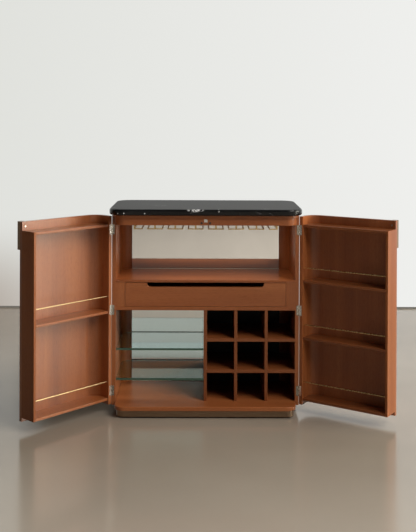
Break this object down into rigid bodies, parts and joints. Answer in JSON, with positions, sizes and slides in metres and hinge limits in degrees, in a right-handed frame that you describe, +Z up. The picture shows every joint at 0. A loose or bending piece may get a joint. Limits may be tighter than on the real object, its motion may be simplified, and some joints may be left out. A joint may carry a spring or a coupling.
{
  "type": "bar armoire",
  "caption": "Stone-topped bar cabinet with wrap-round doors that carry bottle shelves, a stemware rack, mirrors, a drawer, glass shelves and bottle cells.",
  "frame": {"origin": "on the floor, under the middle of the cabinet's plan, at the middle glide", "axes": "+X to the right of someone in front, +Y to the back, +Z up; the front faces -Y"},
  "size_m": [1.851, 0.7186, 1.044],
  "materials": {
    "walnut": "satin",
    "black_marble": "polished",
    "bronze": "satin",
    "brass": "satin",
    "nickel": "satin",
    "black_plastic": "matte",
    "dark_board": "matte",
    "mirror": "polished",
    "shelf_glass": "polished",
    "magnet": "matte"
  },
  "bodies": {
    "cabinet": {"stone_top": "black_marble", "sub_top": "walnut", "header_rail": "walnut", "header_corners": "walnut", "ceiling_panel": "walnut", "left_side_panel": "walnut", "right_side_panel": "walnut", "back_corners": "walnut", "back_panel": "walnut", "bottom_panel": "walnut", "plinth_board": "walnut", "plinth_band": "bronze", "floor_glides": "black_plastic", "counter_panel": "walnut", "drawer_deck": "walnut", "drawer_stiles": "walnut", "drawer_partitions": "walnut", "drawer_runner_rails": "nickel", "centre_divider": "walnut", "bottle_uprights": "walnut", "bottle_shelves": "walnut", "bottle_rack_back": "dark_board", "upper_mirror": "mirror", "lower_mirror": "mirror", "shelf_pins": "nickel", "stemware_posts": "brass", "stemware_loops": "brass", "catch_magnets": "magnet", "stop_plate": "nickel", "hinge_case_leaves": "nickel", "hinge_case_screws": "nickel", "hinge_pins": "nickel"},
    "left_door": {"left_door_panel": "walnut", "left_box_side": "walnut", "left_box_top": "walnut", "left_box_bottom": "walnut", "left_bottle_rods": "brass", "left_pull": "bronze", "left_strike": "nickel", "left_hinge_leaves": "nickel", "left_door_screws": "nickel", "left_box_shelf": "walnut"},
    "right_door": {"right_door_panel": "walnut", "right_box_side": "walnut", "right_box_top": "walnut", "right_box_bottom": "walnut", "right_bottle_rods": "brass", "right_pull": "bronze", "right_strike": "nickel", "right_hinge_leaves": "nickel", "right_door_screws": "nickel", "right_box_shelf_lower": "walnut", "right_box_shelf_upper": "walnut"},
    "drawer": {"drawer_front": "walnut", "drawer_walls": "walnut", "drawer_bottom": "walnut", "drawer_runner_slides": "nickel"},
    "upper_glass": {"upper_glass_shelf": "shelf_glass"},
    "lower_glass": {"lower_glass_shelf": "shelf_glass"}
  },
  "joints": [
    {"name": "left_door_hinge", "type": "hinge", "parent": "cabinet", "child": "left_door", "pos_m": [-0.4753, -0.1264, 0.5], "axis": [0, 0, -1], "range_deg": [-133.5, 36.5]},
    {"name": "right_door_hinge", "type": "hinge", "parent": "cabinet", "child": "right_door", "pos_m": [0.4753, -0.1264, 0.5], "axis": [0, 0, 1], "range_deg": [-146.5, 23.5]},
    {"name": "drawer_slide", "type": "slide", "parent": "cabinet", "child": "drawer", "axis": [0, -1, 0], "range_m": [0, 0.25]},
    {"name": "upper_glass_slide", "type": "slide", "parent": "cabinet", "child": "upper_glass", "axis": [0, -1, 0], "range_m": [0, 0.48]},
    {"name": "lower_glass_slide", "type": "slide", "parent": "cabinet", "child": "lower_glass", "axis": [0, -1, 0], "range_m": [0, 0.48]}
  ]
}
